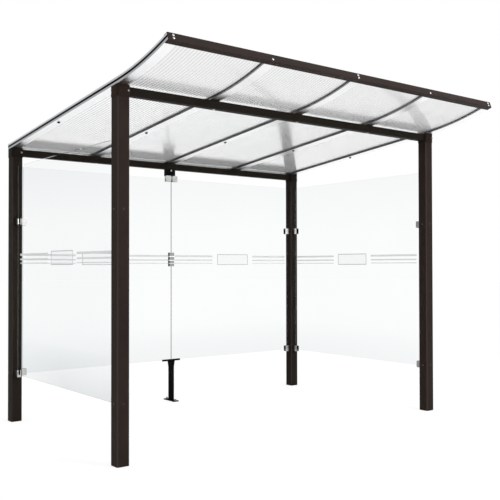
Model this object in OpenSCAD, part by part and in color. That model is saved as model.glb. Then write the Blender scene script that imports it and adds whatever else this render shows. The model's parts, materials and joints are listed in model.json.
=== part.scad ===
// Open-fronted bicycle shelter: four square posts, two beams, a roof of fluted
// sheets that sweeps up at the front, and glass walls on the sides and back.
// Millimetres. X runs along the front, Y to the rear, Z up from the ground.

/* [Overall] */
// Distance between left and right post centres
pitch_x = 2695; // [1800:5:3400]
// Distance between front and rear post centres
pitch_y = 1605; // [1100:5:2200]
// Height of the rafter underside over the front post centres
front_height = 2164; // [1950:1:2700]
// Slope of the straight part of the roof, in degrees
roof_pitch = 5.9; // [2:0.1:8]

/* [Posts and caps] */
// Side of the square posts
post_w = 80; // [60:1:110]
// Wall of the posts
post_wall = 3; // [2:0.5:6]
// Outer corner radius of the posts
post_r = 10; // [5:1:18]
// Thickness of the plate that closes a post foot
foot_plate = 6; // [3:1:12]
// Wall of the post caps
cap_wall = 2.5; // [2:0.5:6]
// Thinnest part of a cap top
cap_top = 4; // [3:1:10]
// Depth of a cap below the roof
cap_h = 66; // [55:1:110]
// Free space between a cap and its post
cap_clear = 0.2; // [0.1:0.05:0.5]

/* [Beams] */
// Height of the beams
beam_h = 50; // [35:1:60]
// Depth of the beams, front to rear
beam_d = 50; // [35:1:70]
// Wall of the beams
beam_wall = 2.5; // [2:0.5:5]
// Thinnest part of the wedges under the rafters
seat_t = 1; // [1:0.5:6]
// Width of the wedges under the rafters
seat_w = 56; // [30:1:60]

/* [Roof] */
// Radius of the upswept front, at the rafter underside
sweep_r = 2250; // [1500:10:3500]
// Angle that the front sweeps through
sweep_angle = 14; // [6:0.5:18]
// Reach of the roof behind the rear post centres
rear_reach = 40; // [40:1:200]
// Number of roof sheets
bays = 4; // [4:1:4]
// Width of the rafters
rafter_w = 66; // [62:1:90]
// Height of the hollow foot of the rafters, which are T-bars
rafter_h = 10; // [8:0.5:12]
// Wall of the rafter foot
rafter_wall = 2; // [1.5:0.5:3]
// Thickness of the rubber gaskets
gasket_h = 2; // [1:0.5:3]
// How far a gasket edge lies inside the rafter edge
gasket_inset = 1; // [1:0.5:6]
// Thickness of the roof sheets
sheet_t = 20; // [16:1:25]
// Space between neighbouring roof sheets
sheet_gap = 10; // [6:1:16]
// Space between a rafter web and the sheets beside it
web_clear = 1; // [0.5:0.5:2]
// Width of the cover strips
strip_w = 60; // [40:1:60]
// Thickness of the cover strips
strip_t = 6.5; // [3:0.5:10]
// Thickness of the outer legs along the two roof sides
verge_t = 2.5; // [1.5:0.5:5]
// Height of the outer leg of the two end rafters
verge_h = 13; // [12:0.5:14]
// Height of the rubber between that leg and the cover strip
verge_rubber = 14; // [4:0.5:14]

/* [Front and rear edges] */
// Thickness of the folded front fascia
fascia_t = 3; // [2:0.5:5]
// Length of the lower leg of the fascia
fascia_low = 38; // [20:1:80]
// Length of the upper leg of the fascia
fascia_up = 33; // [15:1:60]
// Space between the two halves of the fascia
fascia_joint = 1; // [0.5:0.5:4]
// Space between the rafter ends and the fascia
fascia_gap = 0.5; // [0.3:0.1:0.9]
// Space between the fascia legs and what they clasp
fascia_clear = 0.4; // [0.3:0.1:0.8]
// Thickness of the rear edge trim
trim_t = 2; // [1.5:0.5:4]
// Length of the upper leg of the rear edge trim
trim_leg = 25; // [10:1:50]

/* [Glass] */
// Thickness of the panes
glass_t = 8; // [6:1:12]
// Height of the pane bottoms above the ground
glass_z = 343; // [150:1:500]
// Height of the panes
glass_h = 1524; // [1100:1:1560]
// Space between a pane edge and a post
glass_gap = 18; // [12:1:30]
// Space between the two rear panes
joint_gap = 5; // [3:0.5:10]

/* [Clamps] */
// Reach of a clamp from its post
clamp_l = 46; // [36:1:70]
// Height of a clamp
clamp_h = 52; // [36:1:70]
// Thickness of a clamp across the pane
clamp_t = 26; // [24:1:40]
// Corner radius of a clamp
clamp_r = 7; // [3:1:12]
// Thickness of the rubber between clamp and pane
pad_t = 3; // [1:0.5:4]
// Height of the upper clamp centres
clamp_high = 1458; // [1000:1:1600]
// Height of the lower clamp centres over the pane bottoms
clamp_low = 9; // [5:1:20]

/* [Rear joint] */
// Width of the hanger under the rear beam
hanger_w = 80; // [60:1:140]
// Depth of the hanger, front to rear
hanger_d = 52; // [34:1:80]
// How far the hanger stands in front of the pane centre
hanger_front = 3; // [2:0.5:8]
// Height of the lug behind the rear beam
lug_h = 24; // [12:1:40]
// Width of each hanger clamp
grip_w = 49; // [30:1:80]
// Height of each hanger clamp
grip_h = 50; // [38:1:80]
// Thickness of each hanger clamp
grip_t = 24; // [22:1:40]
// Radius of the outer top corner of each hanger clamp
grip_r = 10; // [2:1:14]
// Space between the two hanger clamps
grip_gap = 14; // [8:1:30]
// How far a hanger clamp reaches down over its pane
grip_bite = 24; // [12:1:32]
// Space between a hanger clamp and its pane
grip_clear = 0.3; // [0.1:0.1:1]
// Width of the clamp that joins the rear panes
joiner_w = 45; // [30:1:100]
// Height of the clamp that joins the rear panes
joiner_h = 116; // [60:1:200]
// Thickness of each jaw of that clamp
joiner_jaw = 6.5; // [4:0.5:12]
// Height of the centre of that clamp
joiner_z = 1187; // [900:1:1400]
// Space between that clamp's web and the pane edges
joiner_clear = 0.3; // [0.1:0.1:1]

/* [Support foot] */
// Length of the channel that the rear panes stand in
channel_l = 170; // [110:1:260]
// Wall of the channel
channel_wall = 3; // [2:0.5:5]
// Thickness of the channel floor
channel_floor = 8; // [4:1:15]
// How deep the panes stand in the channel
channel_bite = 4; // [2:1:20]
// Thickness of the rubber between channel and panes
channel_pad = 2; // [1:0.5:4]
// Space between the channel and each face of the panes
channel_clear = 1; // [0.5:0.5:3]
// Diameter of the support tube
tube_d = 48.3; // [35:0.1:60]
// Wall of the support tube
tube_wall = 3; // [2:0.5:6]
// Diameter of the flared top of the tube
flare_d = 62; // [61:1:90]
// Height of the flare
flare_h = 50; // [20:1:100]
// Width of the base plate
base_w = 50; // [40:1:120]
// Length of the base plate
base_l = 164; // [162:1:300]
// Thickness of the base plate
base_t = 8; // [5:1:15]
// Distance between the anchor holes
anchor_pitch = 136; // [100:1:140]
// Diameter of the anchor holes
anchor_d = 12; // [8:1:16]

/* [Hidden] */

brown = [0.16, 0.12, 0.11];
alu = [0.72, 0.74, 0.75];
rubber = [0.03, 0.03, 0.03];
clear_sheet = [0.88, 0.90, 0.90, 0.5];
glass = [0.80, 0.90, 0.88, 0.4];
black = [0.06, 0.06, 0.06];

$fn = 48;
sweep_fn = 360;

// How far each cut runs past what it cuts
cut = 1;

// Posts and caps
post_half = post_w / 2;
cap_half = post_half + cap_wall;

// Roof stack, as heights over the rafter underside
gasket_z = rafter_h;
sheet_z = gasket_z + gasket_h;
strip_z = sheet_z + sheet_t;
stack = strip_z + strip_t;
verge_top = verge_h + verge_rubber;

// The front sweep ends at this slope, and starts at the front of the front caps
end_angle = roof_pitch + sweep_angle;
sweep_run = sweep_r * (sin(end_angle) - sin(roof_pitch));
front_reach = cap_half + sweep_run;

// Nose of the fascia, measured forward from the front post centres
fascia_nose = front_reach + cos(end_angle) * (fascia_gap + fascia_t)
    + sin(end_angle) * (fascia_clear + fascia_t);

// Origin: middle of the overall box, on the ground
rear_most = max(base_l / 2, rear_reach + trim_t, cap_half, hanger_d - hanger_front);
y_front = (fascia_nose - pitch_y - rear_most) / 2;
y_rear = y_front + pitch_y;
x_side = pitch_x / 2;

// Height of the rafter underside over a place on the straight part
function under(y) = front_height - tan(roof_pitch) * (y - y_front);

// Roof grid
roof_half = x_side + post_half;
bay = 2 * roof_half / bays;
sweep_y = y_front - cap_half;
straight_l = (pitch_y + cap_half + rear_reach) / cos(roof_pitch);
function rafter_x(k) = k == 0 ? -roof_half + rafter_w / 2
    : k == bays ? roof_half - rafter_w / 2 : -roof_half + k * bay;

// Beams
front_beam_z = under(y_front + beam_d / 2) - seat_t - beam_h;
rear_beam_z = under(y_rear + beam_d / 2) - seat_t - beam_h;

// Panes
glass_top = glass_z + glass_h;
side_y0 = y_front + post_half + glass_gap;
side_l = pitch_y - post_w - 2 * glass_gap;
rear_x0 = x_side - post_half - glass_gap;
low_clamp_z = glass_z + clamp_low;

// Channel under the rear panes
channel_z = glass_z - channel_pad - channel_floor;

// A square with round corners, made from exact arcs
module round_square(side, r) {
    square([side, side - 2 * r], center = true);
    square([side - 2 * r, side], center = true);
    for (sx = [-1, 1], sy = [-1, 1])
        translate([sx * (side / 2 - r), sy * (side / 2 - r)]) circle(r = r);
}

module post(x, y) {
    top = under(y + cap_half) - cap_top;
    color(brown) translate([x, y, 0]) difference() {
        linear_extrude(top) round_square(post_w, post_r);
        translate([0, 0, foot_plate])
            linear_extrude(top) round_square(post_w - 2 * post_wall, post_r - post_wall);
    }
}

module cap(x, y) {
    seat = under(y + cap_half) - cap_top;
    low = under(y) - cap_h;
    color(brown) difference() {
        translate([x, y, low])
            linear_extrude(cap_h * 2) round_square(2 * cap_half, post_r + cap_wall);
        translate([x, y, low - cut]) linear_extrude(seat - low + cut)
            round_square(post_w + 2 * cap_clear, post_r + cap_clear);
        translate([x, y, under(y)]) rotate([-roof_pitch, 0, 0])
            translate([-post_w, -post_w, 0]) cube([2 * post_w, 2 * post_w, cap_h * 2]);
    }
}

module beam(y, z) {
    length = pitch_x - 2 * cap_half;
    color(brown) translate([-length / 2, y, z + beam_h / 2]) rotate([90, 0, 90])
        linear_extrude(length) difference() {
            square([beam_d, beam_h], center = true);
            square([beam_d - 2 * beam_wall, beam_h - 2 * beam_wall], center = true);
        }
}

module rafter_seats(y, beam_z) {
    color(alu) for (k = [1 : bays - 1]) difference() {
        translate([rafter_x(k) - seat_w / 2, y - beam_d / 2, beam_z + beam_h])
            cube([seat_w, beam_d, beam_h]);
        translate([rafter_x(k), y, under(y)]) rotate([-roof_pitch, 0, 0])
            translate([-seat_w, -beam_d, 0]) cube([2 * seat_w, 2 * beam_d, 2 * beam_h]);
    }
}

// Side outline of one layer of the roof, between two heights over the rafter
// underside: a straight part and the front sweep. It can run past both ends.
module layer_side(low, high, past = 0) {
    angle = sweep_angle + past / sweep_r * 180 / PI;
    far = 2 * sweep_r;
    translate([0, low]) square([straight_l + past, high - low]);
    intersection() {
        translate([0, sweep_r]) difference() {
            circle(r = sweep_r - low, $fn = sweep_fn);
            circle(r = sweep_r - high, $fn = sweep_fn);
        }
        polygon([[0, sweep_r], [0, sweep_r - far], [-far * tan(angle), sweep_r - far]]);
    }
}

// A bar of the roof: a layer with its left face at x
module roof_bar(x, width, low, high, past = 0) {
    translate([x, sweep_y, under(sweep_y)]) rotate([-roof_pitch, 0, 0])
        rotate([90, 0, 90]) linear_extrude(width) layer_side(low, high, past);
}

// Places a cross-section at the front end of the sweep, drawn with X forward
// and Y up over the rafter underside, in a left and a right half.
module at_front_edge() {
    centre_y = sweep_y + sweep_r * sin(roof_pitch);
    centre_z = under(sweep_y) + sweep_r * cos(roof_pitch);
    for (right = [roof_half, -fascia_joint / 2])
        translate([right, centre_y - sweep_r * sin(end_angle), centre_z - sweep_r * cos(end_angle)])
            rotate([-end_angle, 0, 0]) rotate([90, 0, -90])
                linear_extrude(roof_half - fascia_joint / 2) children();
}

// Which side of the roof a rafter lies on: -1 left, 1 right, 0 between
function roof_side(k) = k == 0 ? -1 : k == bays ? 1 : 0;

// Left end of a strip that lies flush with a roof side, or astride a rafter
function flush_left(k, width) = roof_side(k) == 0 ? rafter_x(k) - width / 2
    : roof_side(k) < 0 ? -roof_half : roof_half - width;

// An inner rafter has its web in the middle, an end rafter along its outer
// edge. The foot is hollow.
module rafter(k) {
    left = flush_left(k, rafter_w);
    web = roof_side(k) == 0 ? sheet_gap - 2 * web_clear : verge_t;
    web_left = flush_left(k, web);
    high = roof_side(k) == 0 ? strip_z : verge_h;
    color(alu) difference() {
        roof_bar(left, rafter_w, 0, high);
        if (roof_side(k) >= 0)
            roof_bar(left - cut, web_left - left + cut, rafter_h, high + cut, cut);
        if (roof_side(k) <= 0)
            roof_bar(web_left + web, rafter_w, rafter_h, high + cut, cut);
        roof_bar(left + rafter_wall, rafter_w - 2 * rafter_wall, rafter_wall, rafter_h - rafter_wall, cut);
    }
}

// Flat rubber under both sheets on each rafter, and a black strip in each
// roof side between the rafter's leg and the cover strip's leg
module rafter_gaskets() {
    reach = rafter_w / 2 - gasket_inset;
    color(rubber) {
        for (k = [1 : bays - 1], side = [-1, 1])
            roof_bar(rafter_x(k) + (side < 0 ? -reach : sheet_gap / 2), reach - sheet_gap / 2, gasket_z, sheet_z);
        for (side = [-1, 1]) {
            wide = rafter_w - verge_t - gasket_inset;
            roof_bar(side < 0 ? verge_t - roof_half : roof_half - verge_t - wide, wide, gasket_z, sheet_z);
            roof_bar(side < 0 ? -roof_half : roof_half - verge_t, verge_t, verge_h, verge_top);
        }
    }
}

module roof_sheet(k) {
    left = -roof_half + k * bay + (k == 0 ? verge_t : sheet_gap / 2);
    right = -roof_half + (k + 1) * bay - (k == bays - 1 ? verge_t : sheet_gap / 2);
    color(clear_sheet) roof_bar(left, right - left, sheet_z, strip_z);
}

// The two end strips have a leg that covers the upper edge of the sheet
module cover_strip(k) {
    left = flush_left(k, strip_w);
    under_left = roof_side(k) < 0 ? left + verge_t : left - verge_t;
    color(alu) if (roof_side(k) == 0) roof_bar(left, strip_w, strip_z, stack);
    else difference() {
        roof_bar(left, strip_w, verge_top, stack);
        roof_bar(under_left, strip_w, verge_top - cut, strip_z, cut);
    }
}

module front_fascia() {
    web_x = fascia_gap;
    low = -fascia_clear - fascia_t;
    high = stack + fascia_clear + fascia_t;
    color(brown) at_front_edge() {
        translate([web_x, low]) square([fascia_t, high - low]);
        translate([web_x + fascia_t - fascia_low, low]) square([fascia_low, fascia_t]);
        translate([web_x + fascia_t - fascia_up, high - fascia_t]) square([fascia_up, fascia_t]);
    }
}

module rear_edge_trim() {
    color(alu) translate([-roof_half, sweep_y, under(sweep_y)]) rotate([-roof_pitch, 0, 0]) {
        translate([0, straight_l, 0]) cube([2 * roof_half, trim_t, stack + trim_t]);
        translate([0, straight_l + trim_t - trim_leg, stack]) cube([2 * roof_half, trim_leg, trim_t]);
    }
}

module side_pane(x) {
    color(glass) translate([x - glass_t / 2, side_y0, glass_z]) cube([glass_t, side_l, glass_h]);
}

module rear_pane(side) {
    width = rear_x0 - joint_gap / 2;
    x0 = side < 0 ? -rear_x0 : joint_gap / 2;
    color(glass) translate([x0, y_rear - glass_t / 2, glass_z]) cube([width, glass_t, glass_h]);
}

// Places a clamp part on a post face: X away from the post, Y across the pane
module on_post(x, y, turn, z) {
    translate([x, y, z]) rotate(turn) translate([post_half, 0, 0]) children();
}

// Every clamp of a post: each entry of turns is a post face
module post_clamps(x, y, turns) {
    color(alu) for (turn = turns) {
        on_post(x, y, turn, clamp_high) clamp(-clamp_h);
        on_post(x, y, turn, low_clamp_z) clamp(-clamp_low);
    }
}

// Side outline of a clamp
module clamp_side() {
    translate([0, -clamp_h / 2]) square([clamp_l - clamp_r, clamp_h]);
    translate([0, -clamp_h / 2 + clamp_r]) square([clamp_l, clamp_h - 2 * clamp_r]);
    for (side = [-1, 1])
        translate([clamp_l - clamp_r, side * (clamp_h / 2 - clamp_r)]) circle(r = clamp_r);
}

// One clamp about its centre. The slot for the pane starts at slot_z.
module clamp(slot_z) {
    slot = glass_t + 2 * pad_t;
    difference() {
        translate([0, clamp_t / 2, 0]) rotate([90, 0, 0])
            linear_extrude(clamp_t) clamp_side();
        translate([glass_gap - pad_t, -slot / 2, slot_z]) cube([clamp_l, slot, 2 * clamp_h]);
    }
}

// The two rubbers of one clamp, one on each side of the pane. They start at
// low and end flush with the clamp.
module pads(low) {
    for (side = [-1, 1])
        translate([0, side * (glass_t + pad_t) / 2 + pad_t / 2, 0]) rotate([90, 0, 0])
            linear_extrude(pad_t) intersection() {
                clamp_side();
                translate([glass_gap, low]) square(clamp_l + clamp_h);
            }
}

module post_pads(x, y, turns) {
    for (turn = turns) {
        on_post(x, y, turn, clamp_high) pads(-clamp_h / 2);
        on_post(x, y, turn, low_clamp_z) pads(-clamp_low);
    }
}

module clamp_pads() {
    color(rubber) {
        post_pads(-x_side, y_front, [90]);
        post_pads(x_side, y_front, [90]);
        post_pads(-x_side, y_rear, [-90, 0]);
        post_pads(x_side, y_rear, [-90, 180]);
    }
}

module pane_hanger() {
    low = glass_top - grip_bite + grip_h;
    front = -hanger_front;
    back = hanger_d - hanger_front;
    color(black) translate([-hanger_w / 2, y_rear, 0]) {
        translate([0, front, low]) cube([hanger_w, hanger_d, rear_beam_z - low]);
        translate([0, beam_d / 2, low])
            cube([hanger_w, back - beam_d / 2, rear_beam_z - low + lug_h]);
    }
}

// Outline of a hanger clamp
module grip_side() {
    square([grip_w, grip_h - grip_r]);
    square([grip_w - grip_r, grip_h]);
    translate([grip_w - grip_r, grip_h - grip_r]) circle(r = grip_r);
}

module hanger_clamps() {
    low = glass_top - grip_bite;
    slot = glass_t + 2 * grip_clear;
    color(alu) for (side = [-1, 1])
        translate([0, y_rear, low]) mirror([side < 0 ? 1 : 0, 0, 0])
            translate([grip_gap / 2, 0, 0]) difference() {
                translate([0, grip_t / 2, 0]) rotate([90, 0, 0]) linear_extrude(grip_t) grip_side();
                translate([-cut, -slot / 2, -cut])
                    cube([grip_w + 2 * cut, slot, grip_bite + grip_clear + cut]);
            }
}

module pane_joint_clamp() {
    web = joint_gap - 2 * joiner_clear;
    color(alu) translate([0, y_rear, joiner_z - joiner_h / 2]) linear_extrude(joiner_h) {
        square([web, glass_t + joiner_jaw], center = true);
        for (side = [-1, 1])
            translate([0, side * (glass_t + joiner_jaw) / 2]) square([joiner_w, joiner_jaw], center = true);
    }
}

module pane_channel() {
    width = glass_t + 2 * (channel_wall + channel_clear);
    color(black) translate([-channel_l / 2, y_rear - width / 2, channel_z]) difference() {
        cube([channel_l, width, channel_floor + channel_pad + channel_bite]);
        translate([-cut, channel_wall, channel_floor])
            cube([channel_l + 2 * cut, width - 2 * channel_wall, channel_pad + channel_bite + cut]);
    }
}

module channel_pads() {
    length = channel_l / 2 - joint_gap;
    color(rubber) for (side = [-1, 1])
        translate([side * (joint_gap + length) / 2 - length / 2, y_rear - glass_t / 2, glass_z - channel_pad])
            cube([length, glass_t, channel_pad]);
}

module support_tube() {
    bore = tube_d - 2 * tube_wall;
    color(black) translate([0, y_rear, 0]) difference() {
        union() {
            translate([0, 0, base_t]) cylinder(d = tube_d, h = channel_z - base_t);
            translate([0, 0, channel_z - flare_h]) cylinder(d1 = tube_d, d2 = flare_d, h = flare_h);
        }
        translate([0, 0, base_t - cut]) cylinder(d = bore, h = channel_z - base_t - tube_wall + cut);
    }
}

module support_base() {
    color(black) translate([0, y_rear, 0]) difference() {
        translate([-base_w / 2, -base_l / 2, 0]) cube([base_w, base_l, base_t]);
        for (side = [-1, 1])
            translate([0, side * anchor_pitch / 2, -cut]) cylinder(d = anchor_d, h = base_t + 2 * cut);
    }
}

post(-x_side, y_front);  // front_left_post
post(x_side, y_front);  // front_right_post
post(-x_side, y_rear);  // rear_left_post
post(x_side, y_rear);  // rear_right_post
cap(-x_side, y_front);  // front_left_cap
cap(x_side, y_front);  // front_right_cap
cap(-x_side, y_rear);  // rear_left_cap
cap(x_side, y_rear);  // rear_right_cap
beam(y_front, front_beam_z);  // front_beam
beam(y_rear, rear_beam_z);  // rear_beam
rafter_seats(y_front, front_beam_z);  // front_rafter_seats
rafter_seats(y_rear, rear_beam_z);  // rear_rafter_seats
rafter(0);  // rafter_1
rafter(1);  // rafter_2
rafter(2);  // rafter_3
rafter(3);  // rafter_4
rafter(4);  // rafter_5
rafter_gaskets();
roof_sheet(0);  // roof_sheet_1
roof_sheet(1);  // roof_sheet_2
roof_sheet(2);  // roof_sheet_3
roof_sheet(3);  // roof_sheet_4
cover_strip(0);  // cover_strip_1
cover_strip(1);  // cover_strip_2
cover_strip(2);  // cover_strip_3
cover_strip(3);  // cover_strip_4
cover_strip(4);  // cover_strip_5
front_fascia();
rear_edge_trim();
side_pane(-x_side);  // left_pane
side_pane(x_side);  // right_pane
rear_pane(-1);  // rear_left_pane
rear_pane(1);  // rear_right_pane
post_clamps(-x_side, y_front, [90]);  // front_left_clamps
post_clamps(x_side, y_front, [90]);  // front_right_clamps
post_clamps(-x_side, y_rear, [-90, 0]);  // rear_left_clamps
post_clamps(x_side, y_rear, [-90, 180]);  // rear_right_clamps
clamp_pads();
pane_hanger();
hanger_clamps();
pane_joint_clamp();
pane_channel();
channel_pads();
support_tube();
support_base();
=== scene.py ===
import json
import math

import bmesh
import bpy
from mathutils import Matrix, Vector
from mathutils.bvhtree import BVHTree


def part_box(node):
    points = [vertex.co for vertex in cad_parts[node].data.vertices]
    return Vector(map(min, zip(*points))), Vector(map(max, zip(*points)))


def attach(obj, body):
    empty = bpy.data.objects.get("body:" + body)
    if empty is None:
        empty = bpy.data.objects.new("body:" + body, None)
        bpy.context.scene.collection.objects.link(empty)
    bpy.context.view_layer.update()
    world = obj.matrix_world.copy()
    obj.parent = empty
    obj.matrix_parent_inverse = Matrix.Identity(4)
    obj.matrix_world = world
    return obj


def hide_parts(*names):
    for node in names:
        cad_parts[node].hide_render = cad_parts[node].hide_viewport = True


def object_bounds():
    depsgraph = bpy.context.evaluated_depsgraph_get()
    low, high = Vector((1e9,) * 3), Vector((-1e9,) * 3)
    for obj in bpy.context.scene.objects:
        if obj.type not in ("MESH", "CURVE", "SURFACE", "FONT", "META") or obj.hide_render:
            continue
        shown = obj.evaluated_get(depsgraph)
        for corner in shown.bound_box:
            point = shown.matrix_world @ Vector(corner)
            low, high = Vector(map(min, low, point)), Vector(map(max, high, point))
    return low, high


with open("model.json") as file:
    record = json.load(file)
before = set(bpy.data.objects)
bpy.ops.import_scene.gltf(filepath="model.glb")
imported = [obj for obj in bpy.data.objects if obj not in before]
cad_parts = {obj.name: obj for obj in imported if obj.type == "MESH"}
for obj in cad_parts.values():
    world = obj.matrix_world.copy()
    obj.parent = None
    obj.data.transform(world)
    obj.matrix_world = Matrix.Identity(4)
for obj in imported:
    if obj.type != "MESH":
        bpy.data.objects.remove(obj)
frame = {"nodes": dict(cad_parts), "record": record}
cad_low, cad_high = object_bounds()
nodes = frame["nodes"]

# Lengths are in metres. X runs along the open front, Y from front to back, Z up.

# Roof
SWEEP_RADIUS = 2.25
SWEEP_ANGLE = math.radians(14)
SWEEP_STEPS = 14
STRAIGHT_STEPS = 4
SHEET_LOW = 0.012
SHEET_HIGH = 0.032
BAYS = 4
FLUTES_PER_BAY = 31
FLUTE_FACETS = 4
FLUTE_SWELL = 0.0004
# What the two edges of the roof take of its width
ROOF_EDGES = 0.005
# Outside this the roof's end profiles face open air, and their sides take the lighter of the painted
# side shades
VERGE_X = cad_high.x - 0.01
# Between these two the look of the swept part turns into that of the straight part, with the painted
# shade on the sheets and on the rafter sides
SWEPT_Y = -0.72
STRAIGHT_Y = -0.57

# Film on the panes. Heights are (bottom, top), from the top stripe down.
FILM_THICK = 0.0003
FILM_LIFT = 0.0001
FILM_MARGIN = 0.030
FILM_GAP = 0.053
STRIPE_HEIGHTS = ((1.208, 1.224), (1.176, 1.188), (1.151, 1.158))
PLATE_HALF = 0.170
PLATE_HEIGHTS = (1.141, 1.235)
PLATE_FRAME = 0.005

# Joint clamp, clamp lips and the ground edges of the glass
BAND_HEIGHTS = ((1.2075, 1.2165), (1.1755, 1.1835), (1.1515, 1.1555))
BAND_LIFT = 0.0008
BAND_THICK = 0.0007
SIDE_RUBBER_THICK = 0.0006
LIP_THICK = 0.0015
EDGE_LIFT = 0.00005
EDGE_THICK = 0.0002
PANES = ("left_pane", "right_pane", "rear_left_pane", "rear_right_pane")

# Where the finishes change, from start to end. The first two are shares of a surface's direction: where
# the painted highlight comes in round post corners, and where the painted shade on narrow sides comes
# in. The third is a share of half a flute.
CORNER_HIGHLIGHT_TURN = (0.1, 0.45)
NARROW_SIDE_SHADE = (0.6, 0.9)
WEB_LINE = (0.12, 0.44)
# Where the painted reflection and the painted shade at the foot lie on the panes
PANE_MIDDLE_Z = 1.105
PANE_REFLECTION_FROM_MIDDLE = (0.3, 0.76)
PANE_FOOT_SHADE_Z = (0.33, 0.62)
PANE_FOOT_SHADE_BACK_Y = (0.2, 0.95)
# Heights over which the painted shade on the clamps fades out
CLAMP_LOW_SHADE_Z = (0.5, 1.2)
VERGE_BLEND = 0.001

# Bolts and screws: where they sit
CAP_BOLT_X = 0.030
CAP_BOLT_DROP = 0.034
CLAMP_HEIGHTS = (1.457, 0.353)
CLAMP_REACH = 0.1
RAFTER_BOLT_Y = 0.276
FASCIA_SCREW_X = 0.003
FASCIA_SCREW_Z = 2.302
FASCIA_TOP_SCREW_Z = 2.319
HANGER_BOLT_Z = 1.938
ANCHOR_HALF = 0.068
# A straight line finds each seat. It starts this far from the part, this far from the whole
# shelter, or at this height over the roof.
NEAR_START = 0.2
FAR_START = 1
ABOVE_ROOF = 3
FROM_FRONT = (0, 1, 0)
FROM_BACK = (0, -1, 0)
FROM_LEFT = (1, 0, 0)
FROM_RIGHT = (-1, 0, 0)
FROM_BELOW = (0, 0, 1)
FROM_ABOVE = (0, 0, -1)

# Bolts and screws: radius and height of their heads
BOLT_HEAD = (0.0075, 0.004)
FASCIA_SCREW_HEAD = (0.0075, 0.0034)
CLAMP_BOLT_HEAD = (0.0055, 0.0024)
CLAMP_PLUG = (0.009, 0.0022)
RAFTER_BOLT_HEAD = (0.010, 0.007)
STRIP_BOLT_HEAD = (0.007, 0.003)
ANCHOR_NUT = (0.0095, 0.007)
ANCHOR_STUD = (0.005, 0.014)

# Edges that turn more than this are sharp, and points nearer than this are one. The carried-over
# nodes are welded over the wider gap.
EDGE_ANGLE = math.radians(35)
TOUCH = 1e-6
WELD_GAP = 0.00001

# Studio
FLOOR_RADIUS = 60
FLOOR_GREY = (0.86, 0.86, 0.86, 1)
FLOOR_GLOW = 1.14
FLOOR_GLOW_SHARE = 0.7
SKY_FILL = 0.8
SKY_SEEN = 1.0
LAMP_SIZE = 3.0
LAMP_TARGET = (0, 0, 1.0)
CAMERA_LENS = 54.958
CAMERA_SHIFT = (0.0007, 0.0079)
CAMERA_FROM_POST = (-2.0970, -3.8864, 1.1348)
CAMERA_TURN = math.radians(-37.9726)
CAMERA_TIP = math.radians(90.8672)
CAMERA_ROLL = math.radians(-0.0946)


def middle(node):
    low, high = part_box(node)
    return (low + high) / 2


# ---------------------------------------------------------------- finishes


def finish(name, **sockets):
    """A material whose Principled shader has these plain values."""
    material = bpy.data.materials.new(name)
    material.use_nodes = True
    shader = material.node_tree.nodes["Principled BSDF"]
    for socket, value in sockets.items():
        shader.inputs[socket.replace("_", " ").title().replace("Ior", "IOR")].default_value = value
    return material


def node_of(material, kind, **settings):
    """A new shader node in the material."""
    made = material.node_tree.nodes.new("ShaderNode" + kind)
    for key, value in settings.items():
        setattr(made, key, value)
    return made


def join(material, source, target):
    material.node_tree.links.new(source, target)


def shader_of(material):
    return material.node_tree.nodes["Principled BSDF"]


def place_of(material, stretch=(1, 1, 1)):
    """The piece's own coordinates, stretched."""
    texture = node_of(material, "TexCoord")
    mapping = node_of(material, "Mapping")
    mapping.inputs["Scale"].default_value = stretch
    join(material, texture.outputs["Object"], mapping.inputs["Vector"])
    return mapping.outputs["Vector"]


def cloud(material, scale, detail=3, stretch=(1, 1, 1)):
    """Soft random patches, finer as scale grows."""
    noise = node_of(material, "TexNoise")
    noise.inputs["Scale"].default_value = scale
    noise.inputs["Detail"].default_value = detail
    join(material, place_of(material, stretch), noise.inputs["Vector"])
    return noise.outputs["Fac"]


def ramp(material, source, stops):
    """A colour for each value of source, from (place, colour) stops."""
    made = node_of(material, "ValToRGB")
    points = made.color_ramp.elements
    while len(points) < len(stops):
        points.new(0.5)
    for point, (place, colour) in zip(points, stops):
        point.position = place
        point.color = (*colour, 1)
    join(material, source, made.inputs["Fac"])
    return made.outputs["Color"]


def two_tone(material, source, dark, light):
    """From dark to light over the middle of source."""
    return ramp(material, source, [(0.3, dark), (0.7, light)])


def span(material, source, low, high, from_low=0.3, from_high=0.7):
    """Carries source's range over to low and high, and holds it there beyond both ends."""
    made = node_of(material, "MapRange")
    made.inputs["From Min"].default_value = from_low
    made.inputs["From Max"].default_value = from_high
    made.inputs["To Min"].default_value = low
    made.inputs["To Max"].default_value = high
    join(material, source, made.inputs["Value"])
    return made.outputs["Result"]


def relief(material, height, depth, strength):
    """Fine relief of this depth on the surface."""
    bump = node_of(material, "Bump")
    bump.inputs["Distance"].default_value = depth
    bump.inputs["Strength"].default_value = strength
    join(material, height, bump.inputs["Height"])
    join(material, bump.outputs["Normal"], shader_of(material).inputs["Normal"])


def let_lamps_through(material, tint):
    """Lamps shine through the material as through a tinted window."""
    output = material.node_tree.nodes["Material Output"]
    mix = node_of(material, "MixShader")
    clear = node_of(material, "BsdfTransparent")
    clear.inputs["Color"].default_value = (*tint, 1)
    path = node_of(material, "LightPath")
    join(material, path.outputs["Is Shadow Ray"], mix.inputs["Fac"])
    join(material, shader_of(material).outputs["BSDF"], mix.inputs[1])
    join(material, clear.outputs["BSDF"], mix.inputs[2])
    join(material, mix.outputs["Shader"], output.inputs["Surface"])


def mixed(material, share, first, second):
    """The first colour, turning into the second as share goes from 0 to 1."""
    mix = node_of(material, "Mix", data_type="RGBA")
    join(material, share, mix.inputs[0])
    for socket, colour in ((mix.inputs[6], first), (mix.inputs[7], second)):
        if isinstance(colour, tuple):
            socket.default_value = (*colour, 1)
        else:
            join(material, colour, socket)
    return mix.outputs[2]


def along(material, vector, axis):
    """One axis of a vector."""
    split = node_of(material, "SeparateXYZ")
    join(material, vector, split.inputs["Vector"])
    return split.outputs[axis]


def own(material, axis):
    """How far along one axis of the piece's own coordinates."""
    return along(material, place_of(material), axis)


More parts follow.
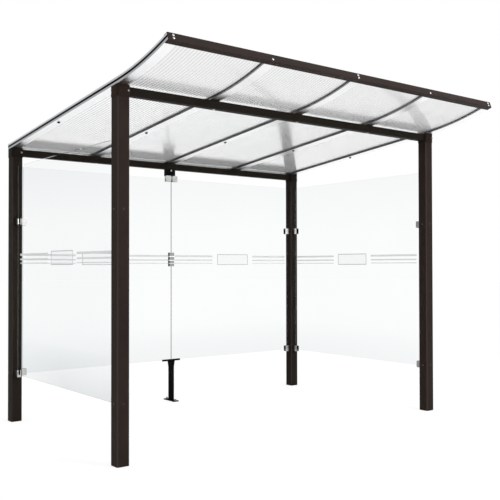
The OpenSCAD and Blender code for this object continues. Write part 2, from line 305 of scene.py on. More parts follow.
def distance_from(material, value, centre):
    """How far a value is from the centre, either way."""
    gap = node_of(material, "Math", operation="SUBTRACT")
    gap.inputs[1].default_value = centre
    join(material, value, gap.inputs[0])
    size = node_of(material, "Math", operation="ABSOLUTE")
    join(material, gap.outputs["Value"], size.inputs[0])
    return size.outputs["Value"]


def product(material, first, second):
    made = node_of(material, "Math", operation="MULTIPLY")
    join(material, first, made.inputs[0])
    join(material, second, made.inputs[1])
    return made.outputs["Value"]


def paint_with(material, colour):
    join(material, colour, shader_of(material).inputs["Base Color"])


def roughen(material, source, low, high):
    """Roughness from low to high over the middle of source."""
    join(material, span(material, source, low, high), shader_of(material).inputs["Roughness"])


def straight_share(material):
    """0 where the roof sweeps up, 1 where it runs straight."""
    return span(material, own(material, "Y"), 0, 1, SWEPT_Y, STRAIGHT_Y)


def powder_coat(name, dark, light, corner=None, rough=0.38):
    """Sprayed and baked paint: faint clouds and orange peel, and a painted highlight round a post's
    corners, a lighter tone where its faces turn."""
    material = finish(name, specular_ior_level=0.012)
    colour = two_tone(material, cloud(material, 7.0, 4), dark, light)
    # Painted highlight: a lighter tone where the surface turns round a corner.
    if corner:
        normal = node_of(material, "NewGeometry").outputs["Normal"]
        both_ways = product(material, along(material, normal, "X"), along(material, normal, "Y"))
        turning = distance_from(material, both_ways, 0)
        colour = mixed(material, span(material, turning, 0, 1, *CORNER_HIGHLIGHT_TURN), colour, corner)
    paint_with(material, colour)
    roughen(material, cloud(material, 160.0, 2), rough, rough + 0.12)
    relief(material, cloud(material, 700.0, 2), 0.00008, 0.5)
    return material


def drawn_aluminium(name, dark, light, rough, side, inner_side_shade=None, swept_side_shade=None):
    """Anodised profile with fine lines along its length. Its narrow sides carry a painted shade, and
    those that face the sheets may carry a darker one, in the straight part and where the roof sweeps up."""
    material = finish(name, metallic=1.0)
    lines = cloud(material, 1.0, 3, (900, 6, 900))
    face = two_tone(material, lines, dark, light)
    normal = node_of(material, "NewGeometry").outputs["Normal"]
    # Painted shade: the narrow sides take darker tones than the face.
    sideways = distance_from(material, along(material, normal, "X"), 0)
    narrow = span(material, sideways, 0, 1, *NARROW_SIDE_SHADE)
    verge = span(material, distance_from(material, own(material, "X"), 0),
                 0, 1, VERGE_X - VERGE_BLEND, VERGE_X + VERGE_BLEND)
    inner = mixed(material, straight_share(material), swept_side_shade or side, inner_side_shade or side)
    sides = mixed(material, verge, inner, side)
    paint_with(material, mixed(material, narrow, face, sides))
    roughen(material, lines, rough, rough + 0.1)
    relief(material, lines, 0.00003, 0.4)
    return material


def satin_metal(name, dark, light, rough):
    """Cast and blasted metal with a fine even grain."""
    material = finish(name, metallic=1.0)
    grain = cloud(material, 450.0, 3)
    paint_with(material, two_tone(material, grain, dark, light))
    roughen(material, grain, rough, rough + 0.12)
    relief(material, grain, 0.00004, 0.4)
    return material


def clamp_finish(name, dark, light):
    """Satin metal with a painted shade that greys it near the ground."""
    material = satin_metal(name, dark, light, 0.24)
    bright = shader_of(material).inputs["Base Color"].links[0].from_socket
    # Painted shade: greyer towards the ground.
    low_shade = span(material, own(material, "Z"), 1, 0, *CLAMP_LOW_SHADE_Z)
    paint_with(material, mixed(material, low_shade, bright, (0.52, 0.52, 0.51)))
    return material


def black_rubber():
    material = finish("black_rubber", specular_ior_level=0.05)
    grain = cloud(material, 300.0, 3)
    paint_with(material, two_tone(material, grain, (0.002, 0.002, 0.002), (0.004, 0.004, 0.004)))
    roughen(material, grain, 0.65, 0.8)
    relief(material, grain, 0.0001, 0.4)
    return material


def fluted_plastic(name, web, swept_web_shade, flute, swept_flute_shade):
    """Milky skin of the double sheet: a line at each web between the flutes. The swept part takes darker
    tones, a painted shade, and no gloss."""
    material = finish(name, transmission_weight=0.97, ior=1.3, coat_roughness=0.12, coat_ior=1.7)
    pitch = (cad_high.x - cad_low.x - ROOF_EDGES) / BAYS / FLUTES_PER_BAY
    fold = node_of(material, "Math", operation="PINGPONG")
    fold.inputs[1].default_value = pitch / 2
    join(material, own(material, "X"), fold.inputs[0])
    across = span(material, fold.outputs["Value"], 0, 1, 0, pitch / 2)
    line = span(material, across, 1, 0, *WEB_LINE)
    straight = straight_share(material)
    paint_with(material, mixed(material, straight, mixed(material, line, swept_flute_shade, swept_web_shade),
                               mixed(material, line, flute, web)))
    join(material, straight, shader_of(material).inputs["Coat Weight"])
    roughen(material, cloud(material, 12.0, 3), 0.10, 0.16)
    relief(material, across, 0.0003, 0.1)
    let_lamps_through(material, (0.8, 0.82, 0.82))
    return material


def clear_glass(name, foot, far_shade_share):
    """Float glass with an anti-glare face, greyer towards its top and bottom by a painted reflection. It
    takes a painted shade, the foot colour, at its lower edge, and towards the back only a share of it."""
    material = finish(name, transmission_weight=1.0, roughness=0.0, ior=1.005)
    # Painted reflection: greyer towards the top and bottom. Painted shade: the foot colour at the lower
    # edge.
    from_middle = distance_from(material, own(material, "Z"), PANE_MIDDLE_Z)
    edge = span(material, from_middle, 0, 1, *PANE_REFLECTION_FROM_MIDDLE)
    low = span(material, own(material, "Z"), 1, 0, *PANE_FOOT_SHADE_Z)
    near = span(material, own(material, "Y"), 1, far_shade_share, *PANE_FOOT_SHADE_BACK_Y)
    clouds = two_tone(material, cloud(material, 0.9, 2), (0.955, 0.965, 0.965), (0.975, 0.98, 0.982))
    body = mixed(material, edge, clouds, (0.925, 0.935, 0.94))
    paint_with(material, mixed(material, product(material, low, near), body, foot))
    let_lamps_through(material, (0.96, 0.97, 0.97))
    return material


def matt_film(name, dark, light):
    """Opaque adhesive film with a fine grain."""
    material = finish(name, specular_ior_level=0.2)
    grain = cloud(material, 500.0, 2)
    paint_with(material, two_tone(material, grain, dark, light))
    roughen(material, grain, 0.6, 0.75)
    return material


def frosted_film():
    """Etched film that lets most of the light through."""
    material = finish("frosted_film", specular_ior_level=0.2, roughness=0.7, alpha=0.05)
    grain = cloud(material, 500.0, 2)
    paint_with(material, two_tone(material, grain, (0.5, 0.52, 0.52), (0.6, 0.62, 0.62)))
    return material


def ground_glass(name, alpha):
    """The matt grey edge that grinding leaves on a pane."""
    material = finish(name, specular_ior_level=0.1, roughness=0.6, alpha=alpha)
    grain = cloud(material, 200.0, 2)
    paint_with(material, two_tone(material, grain, (0.09, 0.10, 0.10), (0.12, 0.13, 0.13)))
    return material


# Each finish has its darkest and its lightest tone first.
# The brown powder coat comes in lit and shaded copies: painted light on the front posts and the fascia,
# painted shade on the rear posts, rear caps, beams and rafter seats. The front caps keep a plainer tone.
brown_paint = powder_coat("brown_paint", (0.0245, 0.0176, 0.0152), (0.0303, 0.0217, 0.0186),
                          corner=(0.052, 0.039, 0.035))
rear_post_shade_paint = powder_coat("rear_post_painted_shade", (0.0175, 0.0134, 0.0109), (0.0216, 0.0164, 0.0134),
                         corner=(0.038, 0.031, 0.027))
cap_paint = powder_coat("cap_paint", (0.0210, 0.0140, 0.0112), (0.0268, 0.0175, 0.0140))
rear_cap_shade_paint = powder_coat("rear_cap_shade_paint", (0.0125, 0.0101, 0.0086), (0.0160, 0.0127, 0.0107))
beam_shade_paint = powder_coat("beam_shade_paint", (0.0142, 0.0116, 0.0091), (0.0176, 0.0143, 0.0113))
fascia_lit_paint = powder_coat("fascia_lit_paint", (0.0350, 0.0262, 0.0238), (0.0418, 0.0316, 0.0288))
# Painted highlight: the plugs take a lighter copy of the post brown, for the light their domes catch.
plug_highlight_paint = powder_coat("plug_highlight_paint", (0.040, 0.0295, 0.0265), (0.048, 0.0350, 0.0315))
bolt_paint = powder_coat("bolt_paint", (0.095, 0.077, 0.071), (0.13, 0.107, 0.101), rough=0.3)
black_paint = powder_coat("black_paint", (0.004, 0.004, 0.004), (0.007, 0.0065, 0.0065), rough=0.30)

# Painted shade on the narrow sides of the profiles, darkest where they face the sheets.
rafter_aluminium = drawn_aluminium(
    "rafter_aluminium", (0.94, 0.945, 0.95), (0.985, 0.99, 0.995), 0.28,
    side=(0.36, 0.37, 0.38), inner_side_shade=(0.15, 0.15, 0.15), swept_side_shade=(0.34, 0.34, 0.34))
strip_aluminium = drawn_aluminium(
    "strip_aluminium", (0.70, 0.71, 0.72), (0.82, 0.83, 0.84), 0.32, side=(0.50, 0.51, 0.52))
# Painted shade: the rear edge trim is a darker, duller copy of the strip aluminium.
trim_shade_aluminium = drawn_aluminium(
    "trim_shade_aluminium", (0.46, 0.46, 0.47), (0.53, 0.53, 0.54), 0.5, side=(0.46, 0.46, 0.47))

# The darker clamp metals are painted shade: on the rear left, front right, hanger and joint clamps.
clamp_metal = clamp_finish("clamp_metal", (0.88, 0.88, 0.87), (0.97, 0.97, 0.96))
rear_left_clamp_shade_metal = clamp_finish("rear_left_clamp_shade_metal", (0.36, 0.36, 0.355), (0.42, 0.42, 0.415))
grip_shade_metal = satin_metal("grip_shade_metal", (0.34, 0.34, 0.335), (0.46, 0.46, 0.45), 0.28)
joint_shade_metal = satin_metal("joint_shade_metal", (0.24, 0.24, 0.24), (0.32, 0.32, 0.315), 0.28)
bolt_steel = satin_metal("bolt_steel", (0.55, 0.55, 0.54), (0.70, 0.70, 0.69), 0.25)
dull_steel = satin_metal("dull_steel", (0.18, 0.17, 0.16), (0.26, 0.24, 0.23), 0.3)
rubber = black_rubber()

flute_colour = (0.998, 1.0, 1.0)
# Painted shade: the under skin is darker where the roof sweeps up.
under_skin = fluted_plastic("fluted_under_skin", web=(0.28, 0.29, 0.29), swept_web_shade=(0.56, 0.56, 0.56),
                            flute=flute_colour, swept_flute_shade=(0.82, 0.82, 0.82))
upper_skin = fluted_plastic("fluted_upper_skin", web=(0.96, 0.97, 0.97), swept_web_shade=(0.96, 0.97, 0.97),
                            flute=flute_colour, swept_flute_shade=flute_colour)

# The foot colours are painted shade, deepest and reaching furthest back on the left pane.
glass = clear_glass("pane_glass", (0.875, 0.89, 0.895), 1)
left_glass = clear_glass("left_pane_glass", (0.745, 0.765, 0.77), 0.15)
end_skin = ground_glass("ground_glass", 0.36)
rim_skin = ground_glass("polished_rim", 0.10)
# The white film in darker copies on each pane, painted shade; the bands round the joint clamp keep it
# bright.
rear_film_shade = matt_film("rear_film_shade", (0.65, 0.66, 0.66), (0.70, 0.71, 0.71))
left_film_shade = matt_film("left_film_shade", (0.72, 0.73, 0.73), (0.77, 0.78, 0.78))
right_film_shade = matt_film("right_film_shade", (0.86, 0.87, 0.87), (0.91, 0.92, 0.92))
line_film = matt_film("line_film", (0.43, 0.44, 0.44), (0.48, 0.49, 0.49))
bright_film = matt_film("bright_film", (0.93, 0.93, 0.93), (0.98, 0.98, 0.98))
frosted = frosted_film()

FINISH_OF_SLOT = {
    "brown_paint": brown_paint,
    "black_paint": black_paint,
    "rafter_aluminium": rafter_aluminium,
    "strip_aluminium": strip_aluminium,
    "black_rubber": rubber,
    "fluted_sheet": under_skin,
    "pane_glass": glass,
    "clamp_metal": clamp_metal,
}

# Nodes that look a little different from their slot. Most are lit or shaded copies of it: painted light
# on the fascia, painted shade on the rear posts, rear caps, beams, rafter seats, rear trim and clamps,
# and painted reflection and painted foot shade on the left pane.
FINISH_OF_NODE = {
    "rear_left_post": rear_post_shade_paint,
    "rear_right_post": rear_post_shade_paint,
    "front_left_cap": cap_paint,
    "front_right_cap": cap_paint,
    "rear_left_cap": rear_cap_shade_paint,
    "rear_right_cap": rear_cap_shade_paint,
    "front_beam": beam_shade_paint,
    "rear_beam": beam_shade_paint,
    "front_fascia": fascia_lit_paint,
    "rear_edge_trim": trim_shade_aluminium,
    # Painted shade: the rafter seats take the dark beam paint.
    "front_rafter_seats": beam_shade_paint,
    "rear_rafter_seats": beam_shade_paint,
    "left_pane": left_glass,
    "rear_left_clamps": rear_left_clamp_shade_metal,
    "front_right_clamps": joint_shade_metal,
    "hanger_clamps": grip_shade_metal,
    "pane_joint_clamp": joint_shade_metal,
}

# How far the hard edges of a node are taken off, by how its name ends
EASED_EDGES = {
    "_cap": 0.0012,
    "_beam": 0.0025,
    "_seats": 0.0008,
    "front_fascia": 0.0012,
    "rear_edge_trim": 0.0006,
    "_clamps": 0.0012,
    "pane_hanger": 0.002,
    "pane_joint_clamp": 0.001,
    "pane_channel": 0.0006,
    "support_base": 0.0012,
}


def dress_cad_nodes():
    """Gives every carried-over node the finish of its slot or its own."""
    for part in frame["record"]["subparts"]:
        name = part["node"]
        mesh = nodes[name].data
        mesh.materials.clear()
        mesh.materials.append(FINISH_OF_NODE.get(name, FINISH_OF_SLOT[part["material_slot"]]))
        for ending, width in EASED_EDGES.items():
            if name.endswith(ending):
                ease_edges(nodes[name], width)


def ease_edges(node, width):
    """Takes the hard edges off a carried-over node."""
    weld = node.modifiers.new("weld", "WELD")
    weld.merge_threshold = WELD_GAP
    ease = node.modifiers.new("ease", "BEVEL")
    ease.width = width
    ease.segments = 2
    ease.limit_method = "ANGLE"
    ease.angle_limit = EDGE_ANGLE


# ---------------------------------------------------------------- making pieces


def mesh_of(bm, name):
    mesh = bpy.data.meshes.new(name)
    bm.to_mesh(mesh)
    bm.free()
    return mesh


def piece(name, bm, material, replaced=()):
    """Turns a bmesh into a finished piece of the shelter."""
    mesh = mesh_of(bm, name)
    mesh.materials.append(material)
    mesh.polygons.foreach_set("use_smooth", [True] * len(mesh.polygons))
    mesh.set_sharp_from_angle(angle=EDGE_ANGLE)
    made = bpy.data.objects.new(name, mesh)
    bpy.context.scene.collection.objects.link(made)
    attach(made, "root")
    if replaced:
        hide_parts(*replaced)
    return made


def face_out(bm):
    """Closes the seams and turns every face outwards."""
    bmesh.ops.remove_doubles(bm, verts=bm.verts, dist=TOUCH)
    bmesh.ops.recalc_face_normals(bm, faces=bm.faces)


def round_edges(bm, width):
    sharp = [e for e in bm.edges if len(e.link_faces) == 2 and e.calc_face_angle() > EDGE_ANGLE]
    bmesh.ops.bevel(bm, geom=sharp, offset=width, offset_type="OFFSET", affect="EDGES",
                    segments=2, profile=0.5, material=-1)


def block(bm, low, high):
    """A box between two corners. Returns its vertices."""
    low, high = Vector(low), Vector(high)
    size = high - low
    place = Matrix.Translation((low + high) / 2) @ Matrix.Diagonal((*size, 1))
    return bmesh.ops.create_cube(bm, size=1, matrix=place)["verts"]


def turned(outline):
    """A lathe shape about Z from (radius, height) points, as a mesh to be placed often."""
    bm = bmesh.new()
    points = [bm.verts.new((radius, 0, height)) for radius, height in outline]
    edges = [bm.edges.new(pair) for pair in zip(points, points[1:])]
    bmesh.ops.spin(bm, geom=points + edges, cent=(0, 0, 0), axis=(0, 0, 1), angle=math.tau,
                   steps=24, use_merge=True)
    face_out(bm)
    return mesh_of(bm, "turned")


def dome(radius, height, rim, turns):
    """The outline of a dome on a straight rim, which takes this share of the height."""
    arc = [math.radians(turn) for turn in turns]
    rise = (1 - rim) / math.sin(arc[-1])
    return [(radius * math.cos(a), height * (rim + rise * math.sin(a))) for a in arc]


def button_head(radius, height):
    """A round screw head with a socket."""
    socket = 0.42 * radius
    bottom = 0.4 * height
    return turned([(0, 0), (radius, 0), *dome(radius, height, 0.15, (0, 20, 40, 60)),
                   (socket, height), (socket, bottom), (0, bottom)])


def plug(radius, height):
    """A low domed plug over a hole."""
    return turned([(0, 0), (radius, 0), *dome(radius, height, 0.2, (0, 25, 50, 70)), (0, height)])


def upright(bm, segments, low_radius, high_radius, height):
    """A round or many-sided bar that stands on the ground plane."""
    bmesh.ops.create_cone(bm, cap_ends=True, segments=segments, radius1=low_radius, radius2=high_radius,
                          depth=height, matrix=Matrix.Translation((0, 0, height / 2)))


def nut_on_stud(radius, height, stud_radius, stud_height):
    """A six-sided nut on a washer, with the end of its stud."""
    bm = bmesh.new()
    upright(bm, 6, radius, radius, height)
    round_edges(bm, 0.0008)
    upright(bm, 16, stud_radius, stud_radius * 0.85, stud_height)
    upright(bm, 24, radius * 1.35, radius * 1.3, 0.002)
    return mesh_of(bm, "nut")


def seat_on(node, start, way):
    """Where a straight line from start first meets a node, and the way out of its surface there."""
    mesh = nodes[node].data
    tree = BVHTree.FromPolygons([v.co for v in mesh.vertices], [p.vertices for p in mesh.polygons])
    way = Vector(way)
    spot, out, _, _ = tree.ray_cast(Vector(start), way)
    return spot, -out if out.dot(way) > 0 else out


def many(name, shape, seats, material):
    """One piece holding a copy of shape on each seat."""
    bm = bmesh.new()
    for spot, out in seats:
        copy = shape.copy()
        copy.transform(Matrix.Translation(spot) @ out.to_track_quat("Z", "Y").to_matrix().to_4x4())
        bm.from_mesh(copy)
        bpy.data.meshes.remove(copy)
    return piece(name, bm, material)


# ---------------------------------------------------------------- roof

# The sheets lie along uphill, with roof_up square to them, as far as sweep_start
front_post = middle("front_left_post")
rear_post = middle("rear_left_post")
front_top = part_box("front_left_post")[1].z
rear_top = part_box("rear_left_post")[1].z
roof_pitch = math.atan2(front_top - rear_top, rear_post.y - front_post.y)
front_cap_low, front_cap_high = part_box("front_left_cap")
sweep_start = Vector((0, front_cap_low.y, front_cap_high.z))
uphill = Vector((0, -math.cos(roof_pitch), math.sin(roof_pitch)))
roof_up = Vector((0, math.sin(roof_pitch), math.cos(roof_pitch)))
sweep_centre = sweep_start + roof_up * SWEEP_RADIUS


def fluted_sheet(number):
    """One roof sheet: both skins swell a little over each flute."""
    node = f"roof_sheet_{number}"
    low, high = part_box(node)
    straight_length = (high.y - SHEET_HIGH * roof_up.y - sweep_start.y) / roof_up.z
    columns = FLUTES_PER_BAY * FLUTE_FACETS
    bm = bmesh.new()
    bmesh.ops.create_grid(bm, x_segments=columns, y_segments=1, size=0.5)
    for vert in bm.verts:
        column = round((vert.co.x + 0.5) * columns)
        swell = FLUTE_SWELL * abs(math.sin(math.pi * column / FLUTE_FACETS))
        top = vert.co.y > 0
        level = SHEET_HIGH - FLUTE_SWELL + swell if top else SHEET_LOW + FLUTE_SWELL - swell
        vert.co = sweep_start + roof_up * level
        vert.co.x = low.x + (high.x - low.x) * column / columns
    bmesh.ops.spin(bm, geom=list(bm.faces), cent=sweep_centre, axis=(1, 0, 0), angle=-SWEEP_ANGLE,
                   steps=SWEEP_STEPS)
    back = [f for f in bm.faces if abs(f.normal.dot(uphill)) > 0.999
            and all(abs((v.co - sweep_start).dot(uphill)) < TOUCH for v in f.verts)]
    for _ in range(STRAIGHT_STEPS):
        moved = bmesh.ops.extrude_face_region(bm, geom=back)["geom"]
        bmesh.ops.delete(bm, geom=back, context="FACES")
        verts = [g for g in moved if isinstance(g, bmesh.types.BMVert)]
        bmesh.ops.translate(bm, verts=verts, vec=-uphill * straight_length / STRAIGHT_STEPS)
        back = [g for g in moved if isinstance(g, bmesh.types.BMFace)]
    face_out(bm)
    for face in bm.faces:
        face.material_index = int(face.normal.z > 0.5)
    sheet = piece(f"fluted_sheet_{number}", bm, under_skin, [node])
    sheet.data.materials.append(upper_skin)


# ---------------------------------------------------------------- film on the panes


def pane_film(pane, inner, coat):
    """Three stripes each side of a plain plate, on the inner face of a pane."""
    low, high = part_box(pane)
    side_pane = high.x - low.x < high.y - low.y
    first, last = (low.y, high.y) if side_pane else (low.x, high.x)
    centre = (first + last) / 2
    stripes = bmesh.new()
    for start, end in ((first + FILM_MARGIN, centre - PLATE_HALF - FILM_GAP),
                       (centre + PLATE_HALF + FILM_GAP, last - FILM_MARGIN)):
        for bottom, top in STRIPE_HEIGHTS:
            block(stripes, (start, 0, bottom), (end, FILM_THICK, top))
    left, right = centre - PLATE_HALF, centre + PLATE_HALF
    bottom, top = PLATE_HEIGHTS
    field_left, field_right = left + PLATE_FRAME, right - PLATE_FRAME
    field_bottom, field_top = bottom + PLATE_FRAME, top - PLATE_FRAME
    outline = bmesh.new()
    for x0, z0, x1, z1 in ((left, bottom, right, field_bottom),
                           (left, field_top, right, top),
                           (left, field_bottom, field_left, field_top),
                           (field_right, field_bottom, right, field_top)):
        block(outline, (x0, 0, z0), (x1, FILM_THICK, z1))
    plate = bmesh.new()
    block(plate, (field_left, 0, field_bottom), (field_right, FILM_THICK, field_top))
    for bm in (stripes, outline, plate):
        if side_pane:
            quarter_turn = Matrix.Rotation(math.pi / 2, 3, "Z")
            bmesh.ops.rotate(bm, verts=bm.verts, cent=(0, 0, 0), matrix=quarter_turn)
            face = high.x + FILM_THICK + FILM_LIFT if inner > 0 else low.x - FILM_LIFT
            bmesh.ops.translate(bm, verts=bm.verts, vec=(face, 0, 0))
        else:
            bmesh.ops.translate(bm, verts=bm.verts, vec=(0, low.y - FILM_THICK - FILM_LIFT, 0))
    piece(f"{pane}_stripes", stripes, coat)
    piece(f"{pane}_outline", outline, line_film)
    piece(f"{pane}_plate", plate, frosted)


def joint_bands():
    """The stripes carried round both jaws of the joint clamp: thin straps with three sides."""
    low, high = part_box("pane_joint_clamp")
    pane_low, pane_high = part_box("rear_left_pane")
    bm = bmesh.new()
    for bottom, top in BAND_HEIGHTS:
        for front, back, way in ((low.y - BAND_LIFT, pane_low.y, 1),
                                 (pane_high.y, high.y + BAND_LIFT, -1)):
            band = block(bm, (low.x - BAND_LIFT, front, bottom), (high.x + BAND_LIFT, back, top))
            bare = [f for f in bm.faces if f.verts[0] in band
                    and (f.normal.y * way > 0.9 or abs(f.normal.z) > 0.9)]
            bmesh.ops.delete(bm, geom=bare, context="FACES")
    bmesh.ops.solidify(bm, geom=list(bm.faces), thickness=BAND_THICK)
    piece("joint_bands", bm, bright_film)


def joint_side_rubbers():
    """Black strips down both sides of each jaw of the joint clamp, cut at the two upper bands."""
    low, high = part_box("pane_joint_clamp")
    pane_low, pane_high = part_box("rear_left_pane")
    (upper_cut, upper_end), (lower_cut, lower_end) = BAND_HEIGHTS[:2]
    bm = bmesh.new()
    for outer, way in ((low.x, -1), (high.x, 1)):
        for front, back in ((low.y, pane_low.y), (pane_high.y, high.y)):
            left, right = sorted((outer, outer + way * SIDE_RUBBER_THICK))
            for bottom, top in ((low.z, lower_cut), (lower_end, upper_cut), (upper_end, high.z)):
                block(bm, (left, front, bottom), (right, back, top))
    piece("joint_side_rubbers", bm, rubber)


def clamp_end_lips():
    """Black strips in the rubber finish on the ends of the clamps at the rear right post, beside the
    glass.
    """
    post_low, post_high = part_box("rear_right_post")
    corners = [v.co for v in nodes["rear_right_clamps"].data.vertices]
    bm = bmesh.new()
    for height in CLAMP_HEIGHTS:
        for axis, across, pane in ((0, 1, "rear_right_pane"), (1, 0, "right_pane")):
            jaw = [co for co in corners
                   if abs(co.z - height) < CLAMP_REACH and co[axis] < post_low[axis] + LIP_THICK
                   and post_low[across] < co[across] < post_high[across]]
            low = Vector([min(co[k] for co in jaw) for k in range(3)])
            high = Vector([max(co[k] for co in jaw) for k in range(3)])
            pane_low, pane_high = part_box(pane)
            for near, far in ((low[across], pane_low[across]), (pane_high[across], high[across])):
                first, last = low.copy(), high.copy()
                first[axis], last[axis] = low[axis] - LIP_THICK, low[axis]
                first[across], last[across] = near, far
                block(bm, first, last)
    piece("clamp_end_lips", bm, rubber)


def pane_edges():
    """A thin matt skin on the top, bottom and ends of every pane."""
    for name in PANES:
        low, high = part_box(name)
        near, far = EDGE_LIFT, EDGE_LIFT + EDGE_THICK
        lengthwise = 1 if high.x - low.x < high.y - low.y else 0
        for axis, kind, skin in ((2, "rims", rim_skin), (lengthwise, "ends", end_skin)):
            bm = bmesh.new()
            for end, start_shift, end_shift in ((low, -far, -near), (high, near, far)):
                first, last = low.copy(), high.copy()
                first[axis] = end[axis] + start_shift
                last[axis] = end[axis] + end_shift
                block(bm, first, last)
            piece(f"{name}_{kind}", bm, skin)


# ---------------------------------------------------------------- bolts and screws


def cap_bolts():
    """One bolt on the front of every cap."""
    seats = []
    for post in ("front_left", "front_right", "rear_left", "rear_right"):
        low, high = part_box(f"{post}_cap")
        x = middle(f"{post}_post").x + CAP_BOLT_X
        start = (x, low.y - NEAR_START, high.z - CAP_BOLT_DROP)
        seats.append(seat_on(f"{post}_cap", start, FROM_FRONT))
    many("cap_bolts", button_head(*BOLT_HEAD), seats, dull_steel)


def post_bolts():
    """Through bolts that hold the clamps, on the post faces that carry no clamp: heads on the faces
    to the left and right, plugs on those to the front and back."""
    faces = {"front_left": (FROM_FRONT, FROM_LEFT, FROM_RIGHT),
             "front_right": (FROM_FRONT, FROM_LEFT, FROM_RIGHT),
             "rear_left": (FROM_LEFT, FROM_BACK),
             "rear_right": (FROM_RIGHT, FROM_BACK)}
    bolts, plugs = [], []
    for post, ways in faces.items():
        centre = middle(f"{post}_post")
        for way in ways:
            for height in CLAMP_HEIGHTS:
                start = Vector((centre.x, centre.y, height)) - FAR_START * Vector(way)
                (plugs if way[1] else bolts).append(seat_on(f"{post}_post", start, way))
    many("post_bolts", button_head(*CLAMP_BOLT_HEAD), bolts, bolt_paint)
    many("post_plugs", plug(*CLAMP_PLUG), plugs, plug_highlight_paint)


def rafter_bolts():
    """A dark bolt under every rafter, and a bright one over it on the cover strip."""
    under, over = [], []
    for k in range(1, BAYS + 2):
        rafter, strip = f"rafter_{k}", f"cover_strip_{k}"
        under.append(seat_on(rafter, (middle(rafter).x, RAFTER_BOLT_Y, 0), FROM_BELOW))
        over.append(seat_on(strip, (middle(strip).x, RAFTER_BOLT_Y, ABOVE_ROOF), FROM_ABOVE))
    many("rafter_bolts", button_head(*RAFTER_BOLT_HEAD), under, rubber)
    many("cover_strip_bolts", button_head(*STRIP_BOLT_HEAD), over, bolt_steel)


def beam_bolts():
    """Under both beams, one below each inner rafter."""
    seats = []
    for beam in ("front_beam", "rear_beam"):
        for k in range(2, BAYS + 1):
            start = (middle(f"rafter_{k}").x, middle(beam).y, 0)
            seats.append(seat_on(beam, start, FROM_BELOW))
    many("beam_bolts", button_head(*BOLT_HEAD), seats, bolt_steel)


def fascia_screws():
    """One screw at the nose of each rafter, and a second above it at every other rafter."""
    seats = []
    for k in range(1, BAYS + 2):
        heights = (FASCIA_SCREW_Z, FASCIA_TOP_SCREW_Z) if k % 2 else (FASCIA_SCREW_Z,)
        for height in heights:
            start = (middle(f"rafter_{k}").x + FASCIA_SCREW_X, cad_low.y - FAR_START, height)
            seats.append(seat_on("front_fascia", start, FROM_FRONT))
    many("fascia_screws", button_head(*FASCIA_SCREW_HEAD), seats, bolt_steel)


def hanger_bolt():
    start = (middle("pane_hanger").x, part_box("pane_hanger")[0].y - NEAR_START, HANGER_BOLT_Z)
    seats = [seat_on("pane_hanger", start, FROM_FRONT)]
    many("hanger_bolt", button_head(*BOLT_HEAD), seats, bolt_steel)


def anchor_bolts():
    """Two studs with nuts, in front of and behind the tube of the middle foot."""
    centre = middle("support_base")
    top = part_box("support_base")[1].z
    seats = [(Vector((centre.x, centre.y + side * ANCHOR_HALF, top)), Vector((0, 0, 1)))
             for side in (-1, 1)]
    many("anchor_bolts", nut_on_stud(*ANCHOR_NUT, *ANCHOR_STUD), seats, dull_steel)


# ---------------------------------------------------------------- studio


def seen_ray(tree):
    """1 where the surroundings are seen, straight, in gloss or through glass, and 0 where they light."""
    path = tree.nodes.new("ShaderNodeLightPath")
    seen = path.outputs["Is Camera Ray"]
    for ray in ("Is Glossy Ray", "Is Transmission Ray"):
        either = tree.nodes.new("ShaderNodeMath")
        either.operation = "MAXIMUM"
        tree.links.new(seen, either.inputs[0])
        tree.links.new(path.outputs[ray], either.inputs[1])
        seen = either.outputs["Value"]
    return seen


def floor():
    """A pale round floor. Where it is seen, most of its white is its own, and the rest keeps the
    shadow."""
    bm = bmesh.new()
    bmesh.ops.create_circle(bm, cap_ends=True, segments=64, radius=FLOOR_RADIUS)
    mesh = mesh_of(bm, "floor")
    material = finish("studio_floor", specular_ior_level=0.0, roughness=0.9, base_color=FLOOR_GREY)
    output = material.node_tree.nodes["Material Output"]
    glow = node_of(material, "Emission")
    glow.inputs["Strength"].default_value = FLOOR_GLOW
    share = span(material, seen_ray(material.node_tree), 0, FLOOR_GLOW_SHARE, 0, 1)
    mix = node_of(material, "MixShader")
    join(material, share, mix.inputs["Fac"])
    join(material, shader_of(material).outputs["BSDF"], mix.inputs[1])
    join(material, glow.outputs["Emission"], mix.inputs[2])
    join(material, mix.outputs["Shader"], output.inputs["Surface"])
    mesh.materials.append(material)
    ground = bpy.data.objects.new("floor", mesh)
    bpy.context.scene.collection.objects.link(ground)


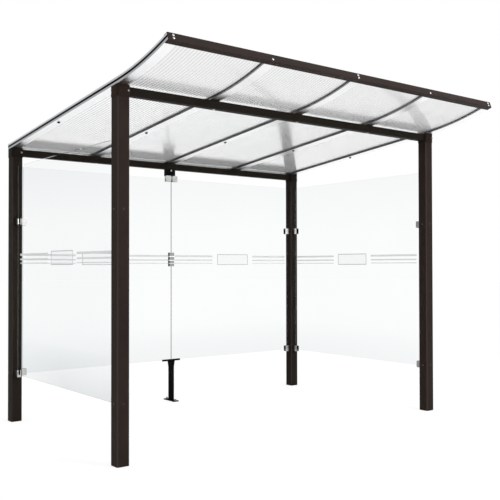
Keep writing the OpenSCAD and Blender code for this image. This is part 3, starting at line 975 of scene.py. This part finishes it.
def sky():
    """White where it is seen, also in gloss and through glass, and a softer fill elsewhere."""
    world = bpy.data.worlds.new("studio")
    bpy.context.scene.world = world
    world.use_nodes = True
    tree = world.node_tree
    background = tree.nodes["Background"]
    background.inputs["Color"].default_value = (1, 1, 1, 1)
    strength = tree.nodes.new("ShaderNodeMapRange")
    strength.inputs["To Min"].default_value = SKY_FILL
    strength.inputs["To Max"].default_value = SKY_SEEN
    tree.links.new(seen_ray(tree), strength.inputs["Value"])
    tree.links.new(strength.outputs["Result"], background.inputs["Strength"])


def lamp(name, place, power):
    """A round soft lamp that shines at the middle of the shelter."""
    data = bpy.data.lights.new(name, "AREA")
    data.shape = "DISK"
    data.size = LAMP_SIZE
    data.energy = power
    made = bpy.data.objects.new(name, data)
    made.location = place
    made.rotation_euler = (Vector(LAMP_TARGET) - Vector(place)).to_track_quat("-Z", "Y").to_euler()
    bpy.context.scene.collection.objects.link(made)


def camera():
    """Chest height, in front and to the left of the front left post."""
    data = bpy.data.cameras.new("camera")
    data.lens = CAMERA_LENS
    data.shift_x, data.shift_y = CAMERA_SHIFT
    made = bpy.data.objects.new("camera", data)
    foot = Vector((front_post.x, front_post.y, 0))
    made.location = foot + Vector(CAMERA_FROM_POST)
    turn = Matrix.Rotation(CAMERA_TURN, 3, "Z")
    tip = Matrix.Rotation(CAMERA_TIP, 3, "X")
    roll = Matrix.Rotation(CAMERA_ROLL, 3, "Z")
    made.rotation_euler = (turn @ tip @ roll).to_euler()
    bpy.context.scene.collection.objects.link(made)
    bpy.context.scene.camera = made


dress_cad_nodes()
for bay in range(1, BAYS + 1):
    fluted_sheet(bay)
pane_film("left_pane", 1, left_film_shade)
pane_film("right_pane", -1, right_film_shade)
pane_film("rear_left_pane", 0, rear_film_shade)
pane_film("rear_right_pane", 0, rear_film_shade)
joint_bands()
joint_side_rubbers()
clamp_end_lips()
pane_edges()
cap_bolts()
post_bolts()
rafter_bolts()
beam_bolts()
fascia_screws()
hanger_bolt()
anchor_bolts()
floor()
sky()
lamp("key_lamp", (2.5, -7.0, 4.0), 260)
lamp("fill_lamp", (-6.0, -2.0, 4.0), 6)
camera()
bpy.context.scene.view_settings.view_transform = "Standard"
